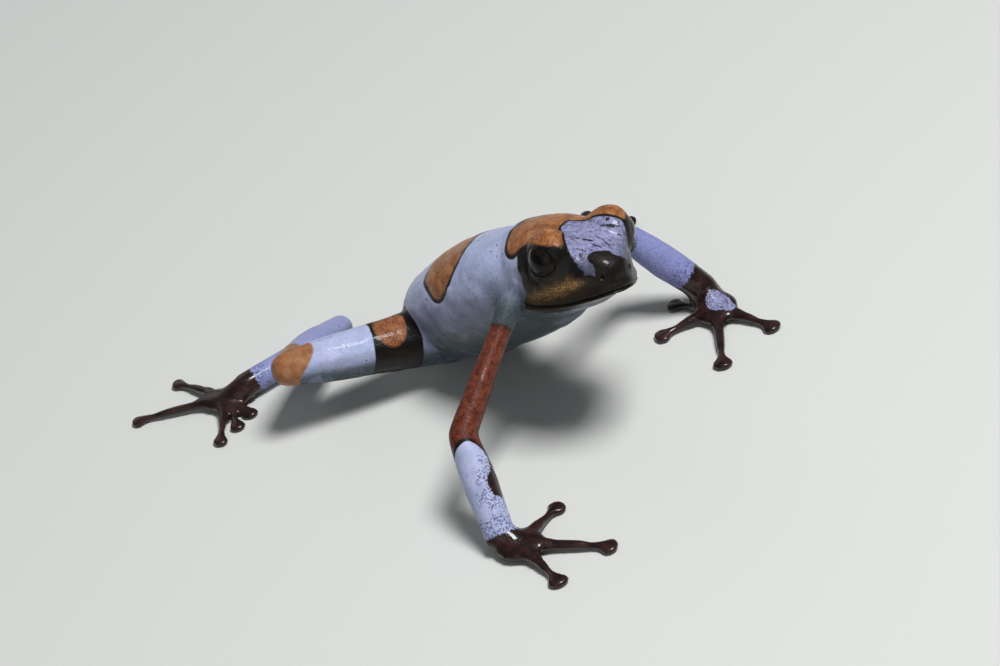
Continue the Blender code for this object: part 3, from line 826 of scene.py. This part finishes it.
def mark_trunk(marks, points, kinds):
    """The spots of the back and of the left flank, and the dark rims of the cap and the spots."""
    along, round_it, _ = unroll(points, along_path(TRUNK_AXIS, 6), TRUNK_ROUND)
    rolled = np.stack((along, round_it), axis=1)
    spots = np.maximum(inside(rolled, BACK_SPOT), inside(rolled, FLANK_SPOT))
    widen(marks, "warm", np.isin(kinds, ("torso", "head")), spots)
    marks["black"] = np.maximum(marks["black"], marks["warm"] + RIM)


def mark_arm(marks, points, kinds, sides, side):
    """The rust sleeve of an arm with its dark ends, the painted shade of the armpit, and the maroon
    hand, with painted blue shade on the far arm.
    """
    shoulder, elbow, wrist, _ = np.array(ARM_AXES[side])
    along, round_it, gap = unroll(points, ARM_AXES[side], ARM_ROUND)
    own = sides == side
    on_arm = (gap < 3.2) & (own | (kinds == "torso")) & ~np.isin(kinds, ("thigh", "shank", "foot"))
    cuff = np.linalg.norm(elbow - shoulder) + CUFF_PAST_ELBOW[side]
    if side == "right":
        arch = np.where(round_it > 0.0, 1.3, 2.6) * (1.0 - np.cos(round_it / ARM_ROUND))
        cuff = cuff + np.minimum(arch, 2.0)
    girth = np.where(kinds == "torso", 1.5, 2.2) - gap
    sleeve = (along - SLEEVE_FROM) * 0.4
    rust = np.minimum(np.minimum(sleeve, cuff - along), girth)
    widen(marks, "black", on_arm, np.minimum(rust + RIM, sleeve))
    paint(marks, on_arm, rust, RUST_HUE, 1.0)
    # Painted shade in the armpit
    painted_armpit_shade = ramp(4.8, 1.8, gap) * ramp(-4.5, 0.5, along) * ramp(3.5, 1.5, along)
    marks["under"] = np.maximum(marks["under"], painted_armpit_shade)
    down = (wrist - elbow) / np.linalg.norm(wrist - elbow)
    past = (points - wrist) @ down
    widen(marks, "maroon", own & np.isin(kinds, ("hand", "forearm")), past + DARK_HAND_FROM[side])
    off_arm = np.linalg.norm(points - wrist - past[:, None] * down, axis=1) - WRIST_RADIUS
    widen(marks, "maroon", own & (kinds == "hand"), off_arm)
    if side == "right":
        widen(marks, "maroon", on_arm, inside(np.stack((along, round_it), axis=1), ARM_PATCH))
    else:
        # Painted blue shade on the far arm
        marks["deep"] = np.where(on_arm & (kinds != "torso"), FAR_ARM_PAINTED_SHADE, marks["deep"])
        for spot, size in HAND_SPOTS:
            pale = size - np.linalg.norm((points - spot) * (1.0, 1.0, 0.8), axis=1)
            marks["pale"] = np.maximum(marks["pale"], pale)


def mark_leg(marks, points, kinds, sides, side):
    """The black band of a thigh with its saddle, the orange cap of the knee, and the maroon foot."""
    hip, knee, heel, ankle, _ = np.array(LEG_AXES[side])
    along, round_it, gap = unroll(points, LEG_AXES[side], LEG_ROUND)
    own = sides == side
    on_leg = own & np.isin(kinds, ("thigh", "shank", "tarsus", "foot"))
    root = (kinds == "torso") & (gap < 3.4) & (along > 0.0)
    band = within(*BAND, along + 0.25 * np.cos(round_it / LEG_ROUND))
    widen(marks, "black", on_leg | root, least(band, np.where(root, 3.0, 3.4) - gap, 0.8))
    (middle_along, middle_round), (half_along, half_round) = SADDLE
    off = np.hypot((along - middle_along) / half_along, (round_it - middle_round) / half_round)
    paint(marks, on_leg | root, 1.45 * (1.0 - off), SADDLE_HUE, 0.5)
    bend = np.linalg.norm(knee - hip)
    thigh = (knee - hip) / bend
    start = bend - KNEE_CAP_BELOW - KNEE_CAP_ABOVE * ramp(-0.3, 1.1, (points - knee)[:, 2] / 2.0)
    middle = points - knee + thigh * 0.6 - (0.0, 0.0, 0.3)
    reach = KNEE_CAP_RADIUS - np.linalg.norm(middle, axis=1)
    paint(marks, on_leg, least((points - hip) @ thigh - start, reach, 0.8), ORANGE_HUE, 1.0)
    down = (ankle - heel) / np.linalg.norm(ankle - heel)
    dark = (points - ankle) @ down + DARK_FOOT_FROM
    widen(marks, "maroon", own & np.isin(kinds, ("foot", "tarsus")), dark)


def mark(skin):
    """Store on the skin how far each corner is inside each marking, and its shares of painted shade and
    of hue.
    """
    points = corners_of(skin)
    kinds, sides = node_labels(points)
    head = into(head_place(), points)
    marks = {name: np.full(len(points), UNMARKED) for name in ("maroon", "pale")}
    marks["hue"] = np.zeros(len(points))
    # Painted blue shade on the shanks and the tarsi
    marks["deep"] = np.where(np.isin(kinds, ("shank", "tarsus")), LEG_PAINTED_SHADE, 0.0)
    mark_head(marks, head)
    mark_trunk(marks, points, kinds)
    # Painted shade where the skin faces down
    painted_underside_shade = ramp(0.6, -0.4, normals_of(skin)[:, 2]) * np.isin(kinds, SHADED_KINDS)
    # Painted shade on the lower part of the snout patch
    painted_muzzle_shade = 0.95 * ramp(1.0, -0.2, head[:, 2]) * (marks["snout"] > -0.5)
    marks["under"] = np.maximum(painted_underside_shade, painted_muzzle_shade)
    for side in SIDES:
        mark_arm(marks, points, kinds, sides, side)
        mark_leg(marks, points, kinds, sides, side)
    pale = marks.pop("pale")
    marks["snout"] = np.maximum(marks["snout"], pale)
    marks["maroon"] = np.minimum(marks["maroon"], -pale)
    for name, values in marks.items():
        layer = skin.data.attributes.new(name, "FLOAT", "POINT")
        layer.data.foreach_set("value", values.astype(np.float32))


class Wire:
    """A socket that carries a number and takes arithmetic."""

    def __init__(self, finish, socket):
        self.finish = finish
        self.socket = socket

    def sum(self, operation, first, second):
        return self.finish.node("ShaderNodeMath", {"operation": operation}, {0: first, 1: second})

    def __add__(self, other):
        return self.sum("ADD", self, other)

    def __radd__(self, other):
        return self.sum("ADD", other, self)

    def __sub__(self, other):
        return self.sum("SUBTRACT", self, other)

    def __rsub__(self, other):
        return self.sum("SUBTRACT", other, self)

    def __mul__(self, other):
        return self.sum("MULTIPLY", self, other)

    def __rmul__(self, other):
        return self.sum("MULTIPLY", other, self)


class Finish:
    """A material that is being made."""

    def __init__(self, name):
        self.material = bpy.data.materials.new(name)
        self.material.use_nodes = True
        self.tree = self.material.node_tree
        self.shader = self.tree.nodes["Principled BSDF"]

    def node(self, kind, settings, sockets, out=0):
        """Add a node: its settings first, then the values or links of its sockets."""
        made = self.tree.nodes.new(kind)
        for key, value in settings.items():
            setattr(made, key, value)
        self.fill(made, sockets)
        return Wire(self, made.outputs[out])

    def fill(self, made, sockets):
        """Set a node's sockets to values, or link them to wires."""
        for key, value in sockets.items():
            socket = made.inputs[key]
            if isinstance(value, Wire):
                self.tree.links.new(value.socket, socket)
            elif isinstance(value, tuple) and socket.type == "RGBA":
                socket.default_value = (*value, 1.0)
            else:
                socket.default_value = value

    def place(self):
        """Object coordinates, in metres."""
        return self.node("ShaderNodeTexCoord", {}, {}, out=3)

    def drawn_out(self, turn, stretch):
        """Object coordinates turned about the upright axis, and drawn out to the front and back."""
        rotation = (0.0, 0.0, math.radians(turn))
        sockets = {"Vector": self.place(), "Rotation": rotation, "Scale": (1.0, 1.0 / stretch, 1.0)}
        return self.node("ShaderNodeMapping", {}, sockets)

    def attribute(self, name):
        """A number that is stored on the mesh."""
        return self.node("ShaderNodeAttribute", {"attribute_name": name}, {}, out=2)

    def noise(self, size, detail=2.0, roughness=0.5, place=None):
        """Noise around 0.5 whose swells are this many millimetres apart."""
        sockets = {"Vector": place or self.place(), "Scale": 1000.0 / size}
        sockets.update({"Detail": detail, "Roughness": roughness})
        return self.node("ShaderNodeTexNoise", {}, sockets)

    def cells(self, size):
        """The distance to the middle of the nearest cell, in cells this many millimetres apart."""
        return self.node("ShaderNodeTexVoronoi", {}, {"Vector": self.place(), "Scale": 1000.0 / size})

    def step(self, value, low, high):
        """A smooth step from 0 at low to 1 at high."""
        sockets = {"Value": value, "From Min": low, "From Max": high, "To Min": 0.0, "To Max": 1.0}
        return self.node("ShaderNodeMapRange", {"interpolation_type": "SMOOTHSTEP"}, sockets)

    def mix(self, share, first, second):
        """A colour between two, by a share from 0 to 1."""
        return self.node("ShaderNodeMix", {"data_type": "RGBA"}, {0: share, 6: first, 7: second}, out=2)

    def mottled(self, size, detail, roughness, low, high, colours):
        """A colour that wanders between two, in swells this many millimetres apart."""
        return self.mix(self.step(self.noise(size, detail, roughness), low, high), *colours)

    def bump(self, height):
        """A relief whose height is in millimetres."""
        return self.node("ShaderNodeBump", {}, {"Height": height, "Distance": MM, "Strength": 1.0})


def lavender_colour(f, broad, ragged, granules, blots, under, paw):
    """Pale lavender with greyer clouds and fine veins, painted blue shade, painted green-grey shade
    below, and painted highlights on its granules, peppered beside the dark paws.
    """
    colour = f.mix(f.step(broad, 0.35, 0.68), *LAVENDER)
    colour = f.mix(f.step(f.noise(1.3, 3.0), 0.42, 0.72) * 0.55, colour, CLOUD)
    colour = f.mix(f.step(f.noise(0.5, 4.0, 0.7), 0.54, 0.68) * 0.3, colour, VEIN)
    # Painted blue shade on the far arm, the shanks and the tarsi
    colour = f.mix(f.attribute("deep"), colour, PAINTED_SHADE_BLUE)
    # Painted green-grey shade where the skin faces down, in the armpits and on the muzzle
    colour = f.mix(under * f.step(broad + ragged * 0.5, 0.15, 0.75) * 0.97, colour, GREEN_SHADE)
    # Painted highlights on the tops of the granules, dimmed in the painted shade
    painted_granule_highlights = (1.0 - f.step(granules, 0.1, 0.55)) * (1.0 - under * 0.8)
    colour = f.mix(painted_granule_highlights * 0.25, colour, PAINTED_GRANULE_HIGHLIGHT)
    specks = f.step(f.cells(0.75), 0.17, 0.11) * f.step(f.noise(2.6), 0.5, 0.62)
    colour = f.mix(specks * 0.85, colour, SPECK)
    beside_paw = f.step(paw + (f.noise(0.8, 3.0) - 0.5) * 4.2, -1.6, -0.4)
    return f.mix(f.step(blots, 0.56, 0.34) * beside_paw * 0.75, colour, PEPPER)


def warm_colour(f, granules):
    """Golden brown, rust or orange by the stored hue, with painted glints on its granules."""
    hue = f.attribute("hue")
    brown = f.mottled(0.8, 4.0, 0.6, 0.35, 0.7, BROWN)
    rust = f.mottled(0.55, 4.0, 0.6, 0.35, 0.7, RUST)
    orange = f.mottled(0.8, 3.0, 0.5, 0.3, 0.7, ORANGE)
    colour = f.mix(f.step(hue, 0.05, 0.4), brown, rust)
    colour = f.mix(f.step(hue, 0.7, 0.95), colour, orange)
    glint = f.mix(f.step(hue, 0.2, 0.45), *GLINT)
    return f.mix(f.step(granules, 0.5, 0.15) * 0.4, colour, glint)


def gild_cheek(f, colour):
    """A brown shade on the cheek, with gilt grains in its middle."""
    gilt = f.attribute("cheek") + (f.noise(0.5, 3.0) - 0.5) * 0.7
    gold = f.mix(f.step(f.cells(0.13), 0.6, 0.2), *GOLD)
    colour = f.mix(f.step(gilt, -1.2, 0.1) * 0.6, colour, CHEEK_SHADE)
    return f.mix(f.step(gilt, -0.2, 0.75), colour, gold)


def paint_snout(f, colour, coal, ragged, blots, sway, under):
    """The pale patch of the snout with its dark rim, speckles, streaks and fine strokes, and painted
    shade on its lower part.
    """
    island = f.attribute("snout") + sway * 0.25 + (ragged - 0.5) * under * 0.45
    colour = f.mix(f.step(island, -0.26, -0.16), colour, coal)
    snout = f.mix(f.step(ragged, 0.35, 0.6), *SNOUT_LAVENDER)
    # Painted shade on the lower part of the snout patch
    snout = f.mix(under * 0.9, snout, SNOUT_SHADE)
    dots = f.step(blots, 0.42, 0.24) * f.step(f.noise(0.9, 3.0) - island * 0.3, 0.14, 0.44)
    snout = f.mix(dots * 0.85, snout, SNOUT_DOT)
    colour = f.mix(f.step(island, -0.04, 0.08), colour, snout)
    streak = f.attribute("streaks") + (f.noise(0.16, 4.0, 0.75) - 0.5) * 0.3
    colour = f.mix(f.step(streak, -0.03, 0.05), colour, STREAK)
    strokes = f.noise(0.34, 3.0, 0.6, f.drawn_out(-22.0, 4.0)) + (f.noise(1.2) - 0.5) * 0.3
    inked = f.step(strokes, 0.62, 0.67) * f.step(island, 0.0, 0.2)
    return f.mix(inked * 0.8, colour, STROKE)


def skin_finish():
    """Pale lavender skin with rust, golden brown and black markings, fine grained and wet."""
    f = Finish("frog_skin")
    broad = f.noise(3.2, 3.0)
    ragged = f.noise(0.42, 4.0, 0.65)
    grain = f.noise(0.12, 2.0, 0.6)
    granules = f.cells(0.17)
    blots = f.cells(0.2) + (f.noise(0.14, 3.0) - 0.5) * 0.7
    sway = (f.noise(0.9, 3.0) - 0.5) * 0.5 + (ragged - 0.5) * 0.22
    # The share of painted shade: the underside, the armpits and the lower part of the snout patch
    under = f.attribute("under")
    paw = f.attribute("maroon") + (ragged - 0.5) * 0.6 + (f.noise(0.22, 3.0) - 0.5) * 0.5
    edge = f.attribute("black") + sway * 0.35
    inner = f.attribute("warm") + sway * 0.3
    paws = f.step(paw, -0.06, 0.06)
    coal = f.mix(f.step(broad, 0.3, 0.7), *COAL)

    colour = lavender_colour(f, broad, ragged, granules, blots, under, paw)
    colour = f.mix(f.step(edge, -0.05, 0.07), colour, coal)
    colour = f.mix(f.step(inner, -0.05, 0.22), colour, warm_colour(f, granules))
    colour = gild_cheek(f, colour)
    colour = paint_snout(f, colour, coal, ragged, blots, sway, under)
    colour = f.mix(paws, colour, f.mottled(1.1, 3.0, 0.5, 0.35, 0.7, MAROON))

    wet = f.step(edge, -0.05, 0.2) * (1.0 - f.step(inner, 0.0, 0.2)) * 0.12 + paws * 0.6
    relief = f.noise(0.9, 3.0) * 0.03 + (1.0 - granules) * 0.026 + grain * 0.01
    f.fill(f.shader, {"Base Color": colour, "Roughness": 0.44 - wet * 0.22 + (grain - 0.5) * 0.16})
    f.fill(f.shader, {"Coat Weight": 0.18 + wet * 1.1, "Coat Roughness": 0.07, "Coat IOR": 1.36})
    f.fill(f.shader, {"Specular IOR Level": 0.14, "Normal": f.bump(relief)})
    return f.material


def eye_finish():
    """A black pupil in a very dark brown iris under a clear wet cornea."""
    f = Finish("frog_eye")
    iris = f.attribute("iris")
    fibres = f.noise(0.22, 4.0, 0.6)
    brown = f.mix(f.step(fibres, 0.3, 0.7), *IRIS)
    colour = f.mix(f.step(iris + (fibres - 0.5) * 0.06, 0.4, 0.5), PUPIL, brown)
    colour = f.mix(f.step(iris, 0.8, 0.93) * 0.5, colour, IRIS_EDGE)
    f.fill(f.shader, {"Base Color": colour, "Roughness": 0.3 + (fibres - 0.5) * 0.06})
    f.fill(f.shader, {"Coat Weight": 1.0, "Coat Roughness": 0.03, "Coat IOR": 1.22})
    f.fill(f.shader, {"Specular IOR Level": 0.05, "Normal": f.bump(fibres * 0.003)})
    return f.material


def eyeball(side, sign):
    """A dark, wet eyeball with a slightly raised cornea."""
    deselect()
    bpy.ops.mesh.primitive_uv_sphere_add(segments=64, ring_count=40, radius=EYE_RADIUS * MM)
    eye = bpy.context.object
    eye.name = "eyeball_" + side
    local = corners_of(eye)
    ahead = local[:, 2] / EYE_RADIUS
    bulge = 1.0 + CORNEA_RISE * ramp(0.45, 0.95, ahead)
    set_corners(eye, out_of(eye_place(sign), local * bulge[:, None]))
    share = np.hypot(local[:, 1], local[:, 0] * 1.12) / EYE_RADIUS
    layer = eye.data.attributes.new("iris", "FLOAT", "POINT")
    layer.data.foreach_set("value", np.where(ahead > 0, share, 1.0).astype(np.float32))
    eye.data.shade_smooth()
    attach(eye, next(iter(frame["bodies"])))
    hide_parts("eye_" + side)
    return eye


def add_camera():
    """The camera, turned about its own line of sight."""
    azimuth = math.radians(VIEW_AZIMUTH)
    elevation = math.radians(VIEW_ELEVATION)
    level = math.cos(elevation)
    back = Vector((math.sin(azimuth) * level, -math.cos(azimuth) * level, math.sin(elevation)))
    deselect()
    bpy.ops.object.camera_add(location=VIEW_TARGET + back * VIEW_DISTANCE)
    camera = bpy.context.object
    roll = Matrix.Rotation(math.radians(VIEW_ROLL), 3, "Z")
    camera.rotation_euler = (back.to_track_quat("Z", "Y").to_matrix() @ roll).to_euler()
    camera.data.lens = VIEW_LENS
    camera.data.sensor_width = VIEW_SENSOR
    camera.data.clip_start = NEAREST_SEEN
    bpy.context.scene.camera = camera


def add_floor():
    """A plain pale floor at Z = 0."""
    deselect()
    bpy.ops.mesh.primitive_plane_add(size=FLOOR_SIZE)
    floor = bpy.context.object
    floor.name = "floor"
    f = Finish("pale_floor")
    f.fill(f.shader, {"Base Color": FLOOR_COLOUR, "Roughness": 0.7})
    floor.data.materials.append(f.material)


def soft_light(name, place, size, power):
    """A square soft box that faces the frog."""
    deselect()
    bpy.ops.object.light_add(type="AREA", location=place)
    lamp = bpy.context.object
    lamp.name = name
    lamp.data.size = size
    lamp.data.energy = power
    lamp.rotation_euler = Vector(place).to_track_quat("Z", "Y").to_euler()


def light_studio():
    """Three soft boxes in a dim, cool room."""
    for light in LIGHTS:
        soft_light(*light)
    world = bpy.data.worlds.new("studio")
    bpy.context.scene.world = world
    world.use_nodes = True
    background = world.node_tree.nodes["Background"]
    background.inputs["Color"].default_value = ROOM_COLOUR
    background.inputs["Strength"].default_value = ROOM_STRENGTH
    bpy.context.scene.view_settings.view_transform = "Standard"


skin = build_skin()
mark(skin)
skin.data.shade_smooth()
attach(skin, next(iter(frame["bodies"])))
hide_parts(*FLESH)
skin.data.materials.clear()
skin.data.materials.append(skin_finish())

eye_material = eye_finish()
for side, sign in SIDES.items():
    eyeball(side, sign).data.materials.append(eye_material)

add_camera()
add_floor()
light_studio()
